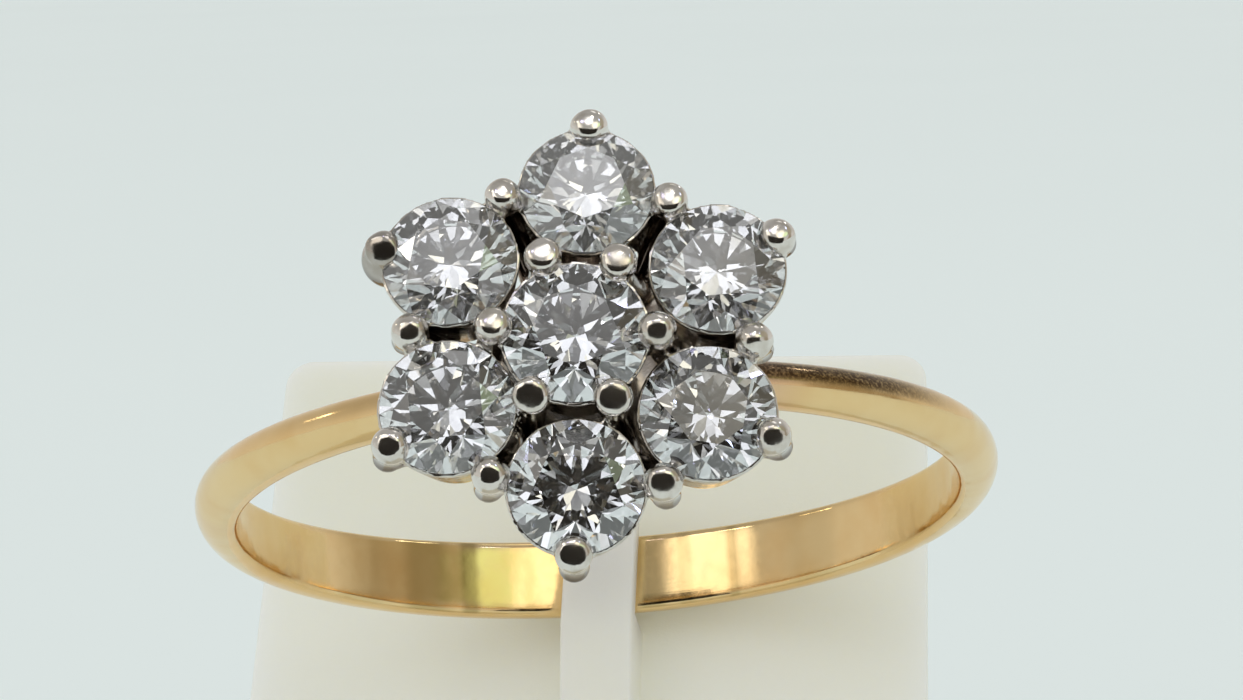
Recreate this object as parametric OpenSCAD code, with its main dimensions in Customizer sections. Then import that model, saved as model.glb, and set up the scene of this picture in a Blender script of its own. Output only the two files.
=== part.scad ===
// Cluster ring: seven round brilliants in a white gold claw head on a yellow gold band,
// held upright by a plain clip stand. Millimetres, +Z up, the foot's middle is the origin.
// The ring is drawn round the middle of its band: X across the fingers, Y along the finger,
// Z out through the cluster. The stand's plate leans back, and the ring sits loosely in its clip.

/* [Band] */
// Inside diameter of the band, the finger size
bore_d = 17.3; // [15:0.1:21]
// Width of the band at the back of the finger
back_w = 2.1; // [1.6:0.05:3]
// Width of the band under the cluster
head_w = 0.95; // [0.8:0.05:2]
// Thickness of the band at the back of the finger
back_t = 1.15; // [0.9:0.05:1.6]
// Thickness of the band under the cluster
head_t = 0.85; // [0.7:0.05:1.4]
// Height of the straight side before the outside turns into its dome
side_h = 0.3; // [0.1:0.05:0.5]

/* [Stones] */
// Diameter of the centre stone
centre_d = 2.88; // [2.6:0.02:3]
// Diameter of each petal stone
petal_d = 2.7; // [2.5:0.02:3]
// Gap between neighbouring petal stones
petal_gap = 0.4; // [0.3:0.02:0.5]
// Outward lean of each petal stone
petal_tilt = 3; // [0:1:8]
// Height of the petal stones' girdles over the band
petal_rise = 2.6; // [2.2:0.05:3.2]
// Height of the centre stone's girdle over the petal stones' girdles
centre_rise = 0.35; // [0.3:0.05:0.8]
// How far the centre stone sits to the right of the cluster's middle
centre_x = -0.12; // [-0.16:0.01:0.16]

/* [Stone cut] */
// Table across its corners, as a share of the stone's diameter
table_share = 0.57; // [0.5:0.01:0.65]
// Slope of the crown's main facets
crown_angle = 34; // [30:0.5:37]
// Slope of the pavilion's main facets
pavilion_angle = 41; // [39:0.5:43]
// Girdle thickness, as a share of the stone's diameter
girdle_share = 0.035; // [0.03:0.005:0.06]
// Reach of the star facets from the table's edge towards the girdle
star_share = 0.5; // [0.4:0.05:0.6]
// Reach of the lower half facets from the girdle towards the culet
lower_share = 0.77; // [0.7:0.01:0.85]

/* [Setting] */
// Diameter of a claw's wire
claw_d = 0.6; // [0.5:0.02:0.7]
// Diameter of the bead that ends a claw
bead_d = 0.78; // [0.74:0.02:0.84]
// Height of a bead's middle over the girdle of the petal stone that it holds
petal_bead_rise = 0.12; // [0.08:0.01:0.2]
// Height of a bead's middle over the girdle of the centre stone
centre_bead_rise = 0.3; // [0.2:0.01:0.34]
// How far a bead in a gap has its middle outside the two petal stones beside it
between_off = 0.318; // [0.26:0.002:0.33]
// How far a bead round the centre stone has its middle outside that stone
inner_off = 0.18; // [0.12:0.01:0.24]
// How far the knee of a tip claw stands outside its bead
tip_out = 0.16; // [0.1:0.01:0.25]
// How far the knee of a claw between the petal stones stands outside its bead
between_out = 0.12; // [0.06:0.01:0.3]
// Depth of a stone's seat ring below the girdle
seat_depth = 1.8; // [1:0.05:2]
// How much smaller in radius a seat ring is at its foot
seat_taper = 0.3; // [0.1:0.05:0.4]
// Wall of a stone's seat ring
seat_wall = 0.34; // [0.25:0.01:0.45]
// How far a seat ring's rim shows round its stone
seat_rim = 0.07; // [0.03:0.01:0.1]
// Outside diameter of the collar that carries the claws
collar_d = 4.7; // [4.2:0.1:5.4]
// Wall of the collar
collar_wall = 0.6; // [0.5:0.05:0.8]
// Height of the collar over the top of the band
collar_over = 0.35; // [0.25:0.05:0.6]
// Depth of the collar's skirt on each side of the band
collar_skirt = 0.5; // [0.3:0.05:0.6]

/* [Ring on the stand] */
// Turn of the cluster from square on the stand, seen from the front
head_turn = 0; // [-5:0.5:5]
// How far the cluster's middle is to the right of the band's
head_side = -0.12; // [-0.3:0.02:0.3]
// Turn of the band from square on the stand, seen from the front
band_turn = 5.5; // [-6:0.5:6]
// Forward lean of the ring from the plate
ring_tilt = 8.5; // [0:0.5:12]
// How far the ring is slid round in the clip, with its cluster to the right
ring_swing = 7; // [-10:0.5:10]
// How far the ring's middle is to the right of the tongue
ring_side = 1.02; // [0:0.02:2]

/* [Stand] */
// Lean of the plate, from upright
lean = 36; // [20:1:40]
// Height of the band's middle over the table
ring_height = 18; // [16:0.5:24]
// Width of the plate
plate_w = 18.6; // [14:0.2:22]
// Thickness of the plate
plate_t = 1.6; // [1.2:0.1:3]
// Height of the plate's top edge over the band's middle, along the plate
plate_top = 8.5; // [5:0.25:10]
// Radius of the plate's top corners
plate_corner = 0.8; // [0.4:0.1:3]
// Thickness of the foot
foot_t = 2.2; // [1.6:0.1:4]
// Radius of the foot's corners
foot_corner = 2; // [1:0.25:4]
// How far the foot reaches past the plate at each side
foot_side = 1.1; // [0.8:0.1:3]
// How far the foot reaches past the cluster in front and the plate behind
foot_margin = 0.6; // [0.5:0.1:3]
// Width of the tongue that clips the band
tongue_w = 1.9; // [1.6:0.05:3]
// How far the tongue is to the right of the plate's middle
tongue_side = 0.6; // [0:0.1:2]
// Thickness of the tongue
tongue_t = 0.8; // [0.6:0.05:1.4]
// Height of the tongue's end over the band's middle, along the plate
tongue_top = 3.8; // [3:0.1:5]
// Depth of the bridge at the tongue, below which its web thins out
bridge_h = 0.6; // [0.4:0.05:1.5]
// Height over which the web thins out to the rib
web_h = 6; // [3:0.5:8]
// How far the rib below the web stands out of the plate
rib_t = 0.3; // [0.2:0.05:0.8]

/* [Clearances] */
// Gap between a stone and the metal that holds it
stone_gap = 0.03; // [0.02:0.01:0.05]
// Gap of the solder seam between the collar and the band
solder_gap = 0.03; // [0.02:0.01:0.05]
// Gap between the band and the stand
clip_gap = 0.05; // [0.03:0.01:0.1]

/* [Hidden] */
petals = 6;

$fn = 96;
step = 360 / petals;
gold = "#d8b25c";
white_gold = "#c9c9c6";
stone_white = "#e9f1f7";
cream = "#e3e1cf";

// Band
bore_r = bore_d / 2;
band_steps = 72;
dome_steps = 10;
// The swept section reaches this far into the bore, which then trims it to a true cylinder
bore_trim = 0.2;

// Heights over the band's middle
band_top = bore_r + head_t;
petal_z = band_top + petal_rise;
centre_z = petal_z + centre_rise;
collar_top = band_top + collar_over;

// Circles of the head
spacing = petal_d + petal_gap;
petal_r = spacing / 2 / sin(step / 2);
between_r = petal_r * cos(step / 2)
    + sqrt(pow(petal_d / 2 + between_off, 2) - pow(spacing / 2, 2));
inner_r = centre_d / 2 + inner_off;
collar_r = (collar_d - collar_wall) / 2;

// A brilliant has eight mains, each with a girdle point at its middle and at its ends
mains = 8;
half = 180 / mains;
// The facets run this far past the girdle, which then trims them to a true cylinder
overcut = 1 / cos(half / 2) + 0.005;

// The knee of each claw lies this far below the girdle
knee_drop = bead_d / 2;
root_z = collar_top - collar_over / 2;

// Stones and claws are set by hand, a little off their even places. Rows go clockwise, each for a
// petal stone and the gap after it: how far out the stone sits, turn of its tip claw round it, how
// far out the claw in the gap stands, and turn of the inner claw round the centre stone.
hand_set = [
    [0.04, 0, 0.06, 0],
    [0, 0, 0.12, 0],
    [-0.16, 10, 0.1, 0],
    [-0.04, 0, 0.05, 0],
    [-0.1, 8, 0.1, 0],
    [0.02, 22, 0.06, -5]];
petal_out = 0;
tip_turn = 1;
gap_out = 2;
inner_turn = 3;

// The band's own axis, in the directions of the plate: across it, up it and out of it
axis = to_plate([0, 1, 0], band_turn);
axis_flat = norm([axis.x, axis.y]);

// Stand
plate_front = -((bore_r + side_h) * axis_flat
    + norm([(back_t - side_h) * axis_flat, back_w / 2 * axis.z]) + clip_gap);
lowest_bead = to_plate(on_petal(1 + petals / 2, petal_d / 2, 0, petal_bead_rise),
                       head_turn, head_side);
front_reach = lowest_bead.z * cos(lean) - lowest_bead.y * sin(lean) + bead_d / 2;
back_reach = plate_top * sin(lean) + (plate_t - plate_front) * cos(lean);
foot_l = front_reach + back_reach + 2 * foot_margin;
// The foot's middle lies half way between the ring's and the plate's
aside = (ring_side + tongue_side) / 2;
foot_w = plate_w + 2 * aside + 2 * foot_side;
ring_y = (front_reach - back_reach) / 2;
// The plate's lower end lies in the middle of the foot's thickness
plate_end = (ring_height + (plate_front - plate_t / 2) * sin(lean) - foot_t / 2) / cos(lean);
// The tongue and its bridge clear the band's edges beside the tongue
beside = [-ring_side - tongue_w / 2, -ring_side + tongue_w / 2];
tongue_back = max([for (x = beside) bore_edge(back_w / 2, x).z]) + clip_gap;
bridge_top = min([for (x = beside) bore_edge(-back_w / 2, x).y]) - clip_gap;

function polar(r, a, z) = [r * cos(a), r * sin(a), z];

// Direction of a petal stone, clockwise from the top, and of the gap after it
function petal_angle(i) = 90 - (i - 1) * step;
function gap_angle(i) = petal_angle(i) - step / 2;

// Distance of a petal stone from the middle of the head
function petal_at(i) = petal_r + hand_set[i - 1][petal_out];

// Point of the head at a petal stone: out from its axis, turned round it, and up it
function on_petal(i, out, turn, up) =
    let (p = polar(out, turn, up),
         x = petal_at(i) + p.x * cos(petal_tilt) + p.z * sin(petal_tilt),
         a = petal_angle(i))
    [x * cos(a) - p.y * sin(a), x * sin(a) + p.y * cos(a),
     petal_z - p.x * sin(petal_tilt) + p.z * cos(petal_tilt)];

// Height of the petal stones' girdles at a distance from the middle of the head, in a gap
function gap_z(r) = petal_z + (petal_r - r * cos(step / 2)) * tan(petal_tilt);

// Point of the ring as [across the plate, up it, out of it], for a piece with that turn and place
function to_plate(p, turn, side = 0) =
    let (x = p.x * cos(turn) - p.y * sin(turn) + side,
         y = p.x * sin(turn) + p.y * cos(turn),
         z = p.z * cos(ring_swing) - x * sin(ring_swing))
    [x * cos(ring_swing) + p.z * sin(ring_swing),
     y * cos(ring_tilt) - z * sin(ring_tilt),
     y * sin(ring_tilt) + z * cos(ring_tilt)];

// Point at the back of the bore, that far along the band's axis and across the plate
function bore_edge(along, across) =
    let (back = (axis.z * axis - [0, 0, 1]) / axis_flat,
         side = [axis.y, -axis.x, 0] / axis_flat,
         share = (across - along * axis.x - bore_r * back.x) / bore_r / side.x)
    along * axis + bore_r * (sqrt(1 - pow(share, 2)) * back + share * side);

// Height at x, y of the plane through three points
function plane_z(p, q, s, x, y) =
    let (n = cross(q - p, s - p)) p.z - (n.x * (x - p.x) + n.y * (y - p.y)) / n.z;

// Radii and heights of a brilliant's corners, for a girdle radius r
function girdle_z(r) = r * girdle_share;
function table_r(r) = r * table_share;
function table_z(r) = girdle_z(r) + (r - table_r(r)) * tan(crown_angle);
function star_r(r) = table_r(r) * cos(half) + (r - table_r(r) * cos(half)) * star_share;
function star_z(r) = girdle_z(r) + (r - star_r(r) * cos(half)) * tan(crown_angle);
function lower_r(r) = r * (1 - lower_share);
function lower_z(r) = -girdle_z(r) - (r - lower_r(r) * cos(half)) * tan(pavilion_angle);
function culet_z(r) = -girdle_z(r) - r * tan(pavilion_angle);

// Ring of corners, one for each main
function corners(r, z, turn = 0) = [for (i = [0:mains - 1]) polar(r, (2 * i + turn) * half, z)];

// Ring of points where the girdle facets cross the overcut radius: at the mains, or between
function overcut_ring(r, tip_r, tip_z, edge_z, turn) =
    let (p = polar(tip_r, half, tip_z), q = polar(r, 0, edge_z), s = polar(r, half, edge_z),
         at = polar(r * overcut, turn * half, 0))
    corners(r * overcut, plane_z(p, q, s, at.x, at.y), turn);

// Round brilliant with its girdle's middle at the origin: the facets, trimmed by the girdle
module brilliant(d) {
    r = d / 2;
    g = girdle_z(r);
    // Rings of corners from the table down to the culet
    table = 0;
    star = mains;
    kite_tip = 2 * mains;
    top_main = 3 * mains;
    top_between = 4 * mains;
    low_main = 5 * mains;
    low_between = 6 * mains;
    low_tip = 7 * mains;
    lower = 8 * mains;
    culet = 9 * mains;
    points = concat(
        corners(table_r(r), table_z(r)),
        corners(star_r(r), star_z(r), 1),
        corners(r, g),
        overcut_ring(r, star_r(r), star_z(r), g, 0),
        overcut_ring(r, star_r(r), star_z(r), g, 1),
        overcut_ring(r, lower_r(r), lower_z(r), -g, 0),
        overcut_ring(r, lower_r(r), lower_z(r), -g, 1),
        corners(r, -g),
        corners(lower_r(r), lower_z(r), 1),
        [[0, 0, culet_z(r)]]);
    facets = [for (i = [0:mains - 1]) let (n = (i + 1) % mains, b = (i + mains - 1) % mains) each [
        // Star and kite of the crown
        [table + n, table + i, star + i],
        [table + i, star + b, kite_tip + i, star + i],
        // Two upper girdle facets
        [star + i, kite_tip + i, top_main + i, top_between + i],
        [star + i, top_between + i, top_main + n, kite_tip + n],
        // Walls that the girdle trims away
        [top_between + i, top_main + i, low_main + i, low_between + i],
        [top_main + n, top_between + i, low_between + i, low_main + n],
        // Two lower girdle facets
        [low_between + i, low_main + i, low_tip + i, lower + i],
        [low_tip + n, low_main + n, low_between + i, lower + i],
        // Main of the pavilion
        [culet, lower + i, low_tip + i, lower + b]]];
    intersection() {
        polyhedron(points = points, faces = concat([[for (i = [0:mains - 1]) table + i]], facets));
        cylinder(h = 2 * d, r = r, center = true);
    }
}

// Space that a stone takes, with its gap, in which no metal may lie
module stone_space(d) {
    r = d / 2;
    g = girdle_z(r);
    scale(1 + stone_gap / r)
        rotate_extrude()
            polygon([[0, culet_z(r)], [lower_r(r), lower_z(r)], [r, -g], [r, g],
                     [star_r(r), star_z(r)], [table_r(r), table_z(r)], [0, table_z(r)]]);
}

module at_centre() {
    translate([centre_x, 0, centre_z]) children();
}

module at_petal(i) {
    rotate([0, 0, petal_angle(i)])
        translate([petal_at(i), 0, petal_z])
            rotate([0, petal_tilt, 0])
                children();
}

// Tapered seat ring under a stone, before the stone's space is cut from it
module seat(d) {
    r = d / 2 + seat_rim;
    foot_r = r - seat_taper;
    rotate_extrude()
        polygon([[foot_r - seat_wall, -seat_depth], [foot_r, -seat_depth], [r, 0], [r - seat_wall, 0]]);
}

// Straight piece of round wire
module wire(from, to, d1, d2) {
    run = to - from;
    translate(from)
        rotate([0, acos(run.z / norm(run)), atan2(run.y, run.x)])
            cylinder(h = norm(run), d1 = d1, d2 = d2, $fn = 32);
}

module ball(at, d) {
    translate(at) sphere(d = d, $fn = 32);
}

// Claw: up from the collar to its knee, then in to the bead over the girdle
module claw(angle, knee, bead) {
    wire(polar(collar_r, angle, root_z), knee, claw_d * 0.9, claw_d);
    ball(knee, claw_d * 1.04);
    wire(knee, bead, claw_d, claw_d * 1.1);
    ball(bead, bead_d);
}

// The tip claw of a petal stone, and the two claws in the gap after it
module claws(i) {
    row = hand_set[i - 1];
    gap = gap_angle(i);
    gap_r = between_r + row[gap_out];
    inner = [centre_x, 0, centre_z] + polar(inner_r, gap + row[inner_turn], 0);
    claw(petal_angle(i),
         on_petal(i, petal_d / 2 + tip_out, row[tip_turn], -knee_drop),
         on_petal(i, petal_d / 2, row[tip_turn], petal_bead_rise));
    claw(gap,
         polar(gap_r + between_out, gap, gap_z(gap_r) - knee_drop),
         polar(gap_r, gap, gap_z(gap_r) + petal_bead_rise));
    claw(gap, inner - [0, 0, knee_drop], inner + [0, 0, centre_bead_rise]);
}

// Width and thickness of the band at a turn about the finger, 90 under the cluster
function band_w(a) = back_w + (head_w - back_w) * (1 + sin(a)) / 2;
function band_t(a) = back_t + (head_t - back_t) * (1 + sin(a)) / 2;

// Section of the band as [along the finger, out from the bore], with its domed outside
function band_section(w, t) = concat(
    [[-w / 2, -bore_trim]],
    [for (k = [0:dome_steps]) let (u = 180 * k / dome_steps - 90)
        [w / 2 * sin(u), side_h + (t - side_h) * cos(u)]],
    [[w / 2, -bore_trim]]);

// Ring round the finger: a swept section, trimmed by the bore
module band_form() {
    sections = [for (s = [0:band_steps - 1]) let (a = s * 360 / band_steps)
        band_section(band_w(a), band_t(a))];
    n = len(sections[0]);
    points = [for (s = [0:band_steps - 1]) let (a = s * 360 / band_steps)
        for (p = sections[s]) [(bore_r + p.y) * cos(a), p.x, (bore_r + p.y) * sin(a)]];
    faces = [for (s = [0:band_steps - 1]) for (k = [0:n - 1])
        let (s2 = (s + 1) % band_steps, k2 = (k + 1) % n)
        [s * n + k, s * n + k2, s2 * n + k2, s2 * n + k]];
    difference() {
        polyhedron(points = points, faces = faces);
        rotate([90, 0, 0]) cylinder(h = 2 * back_w, d = bore_d, center = true, $fn = 180);
    }
}

// Space that the band takes under the collar, with the solder seam's gap
module band_space() {
    a = acos(collar_d / 2 / band_top);
    section = band_section(band_w(a) + 2 * solder_gap, band_t(a) + solder_gap);
    rotate([90, 0, 0])
        rotate_extrude()
            polygon([for (p = section) [bore_r + p.y, p.x]]);
}

// Carries a piece from the plate's directions, round the ring's middle, to its place
module on_plate() {
    translate([0, ring_y, ring_height])
        rotate([90 - lean, 0, 0])
            children();
}

// Carries a piece from the ring's frame to its place in the clip
module in_clip(turn, side = 0) {
    translate([aside, 0, 0]) on_plate()
        rotate([ring_tilt, 0, 0])
            rotate([0, ring_swing, 0])
                translate([side, 0, 0])
                    rotate([0, 0, turn])
                        children();
}

// The same for the cluster
module as_head() {
    in_clip(head_turn, head_side) children();
}

module band() {
    color(gold) in_clip(band_turn) band_form();
}

module setting() {
    color(white_gold) as_head() difference() {
        union() {
            // Collar, astride the band
            rotate_extrude()
                translate([collar_r, (collar_top + band_top - collar_skirt) / 2])
                    square([collar_wall, collar_over + collar_skirt], center = true);
            at_centre() seat(centre_d);
            for (i = [1:petals]) at_petal(i) seat(petal_d);
            for (i = [1:petals]) claws(i);
        }
        at_centre() stone_space(centre_d);
        for (i = [1:petals]) at_petal(i) stone_space(petal_d);
        rotate([0, 0, -head_turn]) translate([-head_side, 0, 0]) rotate([0, 0, band_turn])
            band_space();
    }
}

module centre_stone() {
    color(stone_white) as_head() at_centre() brilliant(centre_d);
}

module petal_stone(i) {
    color(stone_white) as_head() at_petal(i) brilliant(petal_d);
}

module plate() {
    wide = plate_w / 2;
    translate([0, 0, plate_front - plate_t]) linear_extrude(plate_t) {
        translate([-wide, -plate_end]) square([plate_w, plate_end + plate_top - plate_corner]);
        translate([plate_corner - wide, 0]) square([plate_w - 2 * plate_corner, plate_top]);
        for (side = [-1, 1])
            translate([side * (wide - plate_corner), plate_top - plate_corner])
                circle(r = plate_corner);
    }
}

// Rib and web up the plate, the bridge under the band, and the tongue in front of it
module tongue() {
    front = tongue_back + tongue_t;
    sunk = plate_front - plate_t / 2;
    rib_front = plate_front + rib_t;
    bridge_low = bridge_top - bridge_h;
    tip = tongue_top - tongue_t / 2;
    rotate([90, 0, 90]) linear_extrude(tongue_w, center = true) {
        polygon([[-plate_end, sunk], [bridge_top, sunk], [bridge_top, front], [bridge_low, front],
                 [bridge_low - web_h, rib_front], [-plate_end, rib_front]]);
        translate([bridge_low, tongue_back]) square([tip - bridge_low, tongue_t]);
        translate([tip, tongue_back + tongue_t / 2]) circle(d = tongue_t);
    }
}

module foot() {
    linear_extrude(foot_t) {
        square([foot_w - 2 * foot_corner, foot_l], center = true);
        square([foot_w, foot_l - 2 * foot_corner], center = true);
        for (x = [-1, 1], y = [-1, 1])
            translate([x * (foot_w / 2 - foot_corner), y * (foot_l / 2 - foot_corner)])
                circle(r = foot_corner);
    }
}

module display_stand() {
    color(cream) {
        foot();
        translate([-aside, 0, 0]) on_plate() {
            plate();
            translate([tongue_side, 0, 0]) tongue();
        }
    }
}

band();
setting();
centre_stone();
for (i = [1:petals])
    petal_stone(i);
display_stand();
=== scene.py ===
import math

import bmesh
import bpy
import numpy as np
from mathutils import Matrix, Vector, noise as wobble


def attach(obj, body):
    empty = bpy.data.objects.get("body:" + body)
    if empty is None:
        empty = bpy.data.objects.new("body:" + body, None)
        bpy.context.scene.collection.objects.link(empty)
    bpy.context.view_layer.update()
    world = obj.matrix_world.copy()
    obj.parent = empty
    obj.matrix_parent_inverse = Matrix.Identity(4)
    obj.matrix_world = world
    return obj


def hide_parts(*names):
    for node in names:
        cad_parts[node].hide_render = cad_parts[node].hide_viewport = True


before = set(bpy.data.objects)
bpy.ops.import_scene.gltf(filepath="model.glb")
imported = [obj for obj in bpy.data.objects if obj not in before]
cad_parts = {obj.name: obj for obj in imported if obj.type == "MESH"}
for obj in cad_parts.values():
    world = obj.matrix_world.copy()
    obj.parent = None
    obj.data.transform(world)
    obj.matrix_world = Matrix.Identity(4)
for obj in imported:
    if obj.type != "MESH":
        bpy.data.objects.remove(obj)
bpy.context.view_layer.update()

# Looks of a cluster ring on its clip stand. Solids are drawn in millimetres in the ring's own frame
# (X across the fingers, Y along the finger, Z out through the cluster) and carried to the row's frame.
MM = 0.001

# Driving sizes of the model, in millimetres and degrees
BORE_R = 8.65
BACK_W, HEAD_W = 2.1, 0.95
BACK_T, HEAD_T = 1.15, 0.85
SIDE_H = 0.3
CENTRE_D, PETAL_D = 2.88, 2.7
PETAL_GAP = 0.4
PETAL_TILT = 3
PETAL_RISE, CENTRE_RISE = 2.6, 0.35
CENTRE_X = -0.12
CLAW_D, BEAD_D = 0.6, 0.78
# Widths of a claw's root, knee and upper end, as shares of CLAW_D
ROOT_SHARE, KNEE_SHARE, END_SHARE = 0.9, 1.04, 1.1
PETAL_BEAD_RISE, CENTRE_BEAD_RISE = 0.12, 0.3
BETWEEN_OFF, INNER_OFF = 0.318, 0.18
TIP_OUT, BETWEEN_OUT = 0.16, 0.12
SEAT_DEPTH, SEAT_TAPER, SEAT_WALL, SEAT_RIM = 1.8, 0.3, 0.34, 0.07
COLLAR_D, COLLAR_WALL, COLLAR_OVER, COLLAR_SKIRT = 4.7, 0.6, 0.35, 0.5
HEAD_TURN, HEAD_SIDE, BAND_TURN = 0, -0.12, 5.5
RING_TILT, RING_SWING, RING_SIDE = 8.5, 7, 1.02
LEAN = 36
RING_HEIGHT = 18
PLATE_W, PLATE_T, PLATE_TOP, PLATE_CORNER = 18.6, 1.6, 8.5, 0.8
FOOT_T, FOOT_CORNER, FOOT_SIDE, FOOT_MARGIN = 2.2, 2, 1.1, 0.6
TONGUE_W, TONGUE_T, TONGUE_TOP, TONGUE_SIDE = 1.9, 0.8, 3.8, 0.6
BRIDGE_H, WEB_H, RIB_T = 0.6, 6, 0.3
CLIP_GAP = 0.05

# Given places, a row for each petal clockwise from the top: how far out the stone sits, turn of
# its tip claw, how far out the claw in the gap stands, and turn of the inner claw
HAND_SET = [(0.04, 0, 0.06, 0), (0, 0, 0.12, 0), (-0.16, 10, 0.1, 0),
            (-0.04, 0, 0.05, 0), (-0.1, 8, 0.1, 0), (0.02, 22, 0.06, -5)]

# Cut of the stones, as shares of their diameter and facet slopes
GIRDLE_SHARE, TABLE_SHARE, STAR_SHARE, LOWER_SHARE = 0.035, 0.57, 0.5, 0.77
CROWN_ANGLE, PAVILION_ANGLE, HALF_MAIN = 34, 41, 22.5

# Flat that each claw's bead is worn to, for the tip, gap and inner claw of each petal: how far it
# looks to the right and up from straight out of the cluster, and its share of the bead's width
WORN = [((0, 4, 0.7), (0, 5, 0.75), (0, 5, 0.8)),
        ((4, 3, 0.6), (15, -40, 0.5), (2, -16, 0.5)),
        ((8, -20, 0.6), (0, -18, 0.7), (2, -18, 0.84)),
        ((2, -18, 0.8), (4, -14, 0.5), (3, -18, 0.84)),
        ((-10, -14, 0.6), (0, -18, 0.45), (0, 4, 0.7)),
        ((-10, -18, 0.84), (0, 4, 0.6), (0, 5, 0.8))]
# What is left of the dome on a worn flat
WORN_DOME = 0.3
# The upper left petal's tip claw is broader than the others, with a painted dark reflection round its bead
BROAD_TIP, BROAD_D, BROAD_OUT = 5, 1.16, -0.06

# How uneven the beads are, in millimetres and in waves a millimetre, and the seed that makes them
# the same in each run
BEAD_WOBBLE, BEAD_WAVES, BEAD_SEED = 0.025, 2.2, 7
# How clear each stone is and its tone, the centre one first and then the petals clockwise
STONE_LOOKS = [(1.0, 0.97), (0.93, 1.0), (0.97, 1.0), (1.0, 0.84), (1.0, 1.0), (0.98, 1.0),
               (0.96, 1.0)]

# Looks: how close the metal comes to the stones, how fine its mesh is and what share of it is kept,
# and the thickness of the floor in the collar, which the painted shade darkens
METAL_GAP = 0.012
VOXEL = 0.05
KEPT_SHARE = 0.48
COLLAR_FLOOR = 0.2
# How far the band's space reaches into the bore, and how near the bore a point counts as on it
BAND_SPACE_PAST, ON_BORE = 0.2, 0.01
# Radius of the band's corners, and its section's steps along the flat, round a corner and the dome
BAND_CORNER = 0.2
FLAT_STEPS, CORNER_STEPS, DOME_STEPS = 6, 5, 24
# Rounding of the stand's edges, the least angle that is rounded, and the angles past which an edge
# of the stand and of the metal is shown sharp
STAND_BEVEL, BEVEL_ANGLE, STAND_SHARP, METAL_SHARP = 0.14, 30, 35, 50

# Marks on the band. Past the bore by the first height a point is inside, by the second outside.
INSIDE_HIGH, OUTSIDE_LOW = 0.05, 0.15
# Painted dark reflection on the right shoulder: how many degrees from the joint it reaches and fades,
# where along the finger it starts and in what width, and the same for the lighter edge beyond it, with its
# share
SHOULDER_REFLECTION_REACH, SHOULDER_REFLECTION_FADE = 62, 22
SHOULDER_REFLECTION_FROM, SHOULDER_REFLECTION_RISE = -0.12, 0.18
EDGE_FROM, EDGE_RISE, EDGE_SHARE = 0.3, 0.15, 0.45
# Rosy metal: reach and fade, and its share on the right and on the left
ROSY_REACH, ROSY_FADE, ROSY_RIGHT, ROSY_LEFT = 32, 14, 0.8, 0.35
# Painted dark brown reflections inside the band: angle from the back of the finger, half width and
# depth, and at how many half widths from their middle they are gone
INSIDE_REFLECTION_PLACES = [(-47, 5, 0.25), (-33, 4, 0.55), (-24.5, 1.5, 0.7), (8.5, 2.2, 0.5), (15, 1.2, 0.3),
         (24, 0.9, 0.5), (40, 5, 0.2)]
INSIDE_REFLECTION_PLACES_END = 1.5
# Painted shade between the stones: its height over the girdles, fade and share, the part of it that is
# left under a stone, and how far and how much a painted dark reflection lies round the broad claw's bead
PAINTED_DARK_OVER, PAINTED_DARK_FADE, PAINTED_DARK_SHARE, UNDER_STONE = 0.02, 0.5, 0.9, 0.2
BROAD_REACH, BROAD_FADE, BROAD_SHARE = 0.8, 0.3, 0.4

# Colours, in pairs where a material varies between two
GOLD = ((0.89, 0.66, 0.345), (0.84, 0.575, 0.265))
# Rosy metal, and the browns of the painted reflections inside the band and on the right shoulder
ROSY_GOLD, INSIDE_REFLECTION_COLOUR, SHOULDER_REFLECTION = (0.74, 0.50, 0.38), (0.40, 0.29, 0.11), (0.10, 0.06, 0.03)
WHITE_GOLD = ((0.80, 0.76, 0.71), (0.62, 0.57, 0.50))
# Painted shade between the stones, also used for the painted dark reflection on the broad claw
PAINTED_DARK = (0.11, 0.075, 0.055)
STONE = ((0.98, 0.99, 1.0), (0.93, 0.95, 0.97))
# Plain cream of the stand, and a paler copy of it that paints light on the plate low down, where the ring
# shades it
CREAM_HIGH = ((0.75, 0.735, 0.64), (0.72, 0.705, 0.61))
CREAM_PAINTED_LIGHT = ((0.90, 0.89, 0.82), (0.88, 0.87, 0.80))
FLOOR = ((0.865, 0.93, 0.93), (0.885, 0.95, 0.95))
CARD_BLACK = ((0.012, 0.011, 0.01), (0.035, 0.028, 0.022))
# Heights between which the stand's plate turns from the paler cream low down, which is painted light,
# to the plain one high up, and the foot's plain cream to the plate's
PAINTED_LIGHT_TURN, FOOT_TURN = (4, 27), (2.3, 5)

# Black card in front: its middle, width, lower and upper edge, and place along Y
CARD = (10, 110, 3, 64, -69)

# What the metal and the stones mirror besides the plain sky, each in a direction given by the angle
# from the front towards the right and the height over the horizon: full within the first radius,
# gone past the second, and its colour
PATCHES = [
    (-36, 35, 7, 19, (1.7, 1.62, 1.48)),
    (34, 41, 6, 16, (1.8, 1.7, 1.4)),
    (71, 31, 4, 9, (0.36, 0.38, 0.22)),
    (94, 34, 10, 26, (0.42, 0.38, 0.29)),
    (86, 4, 8, 24, (0.36, 0.31, 0.23))]
# A greenish and a bright one, which don't show through the stones
SURFACE_PATCHES = [(53, 36, 4, 12, (0.93, 1.12, 0.68)), (7, 57, 6, 13, (1.9, 1.9, 1.92))]

# Plain sky at the horizon and overhead, what matt things see of it, and what the camera sees
SKY_LOW, SKY_HIGH = (0.70, 0.69, 0.66), (0.42, 0.42, 0.41)
SKY_EVEN, BACKGROUND = (0.78, 0.80, 0.79), (0.686, 0.753, 0.745)
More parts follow.
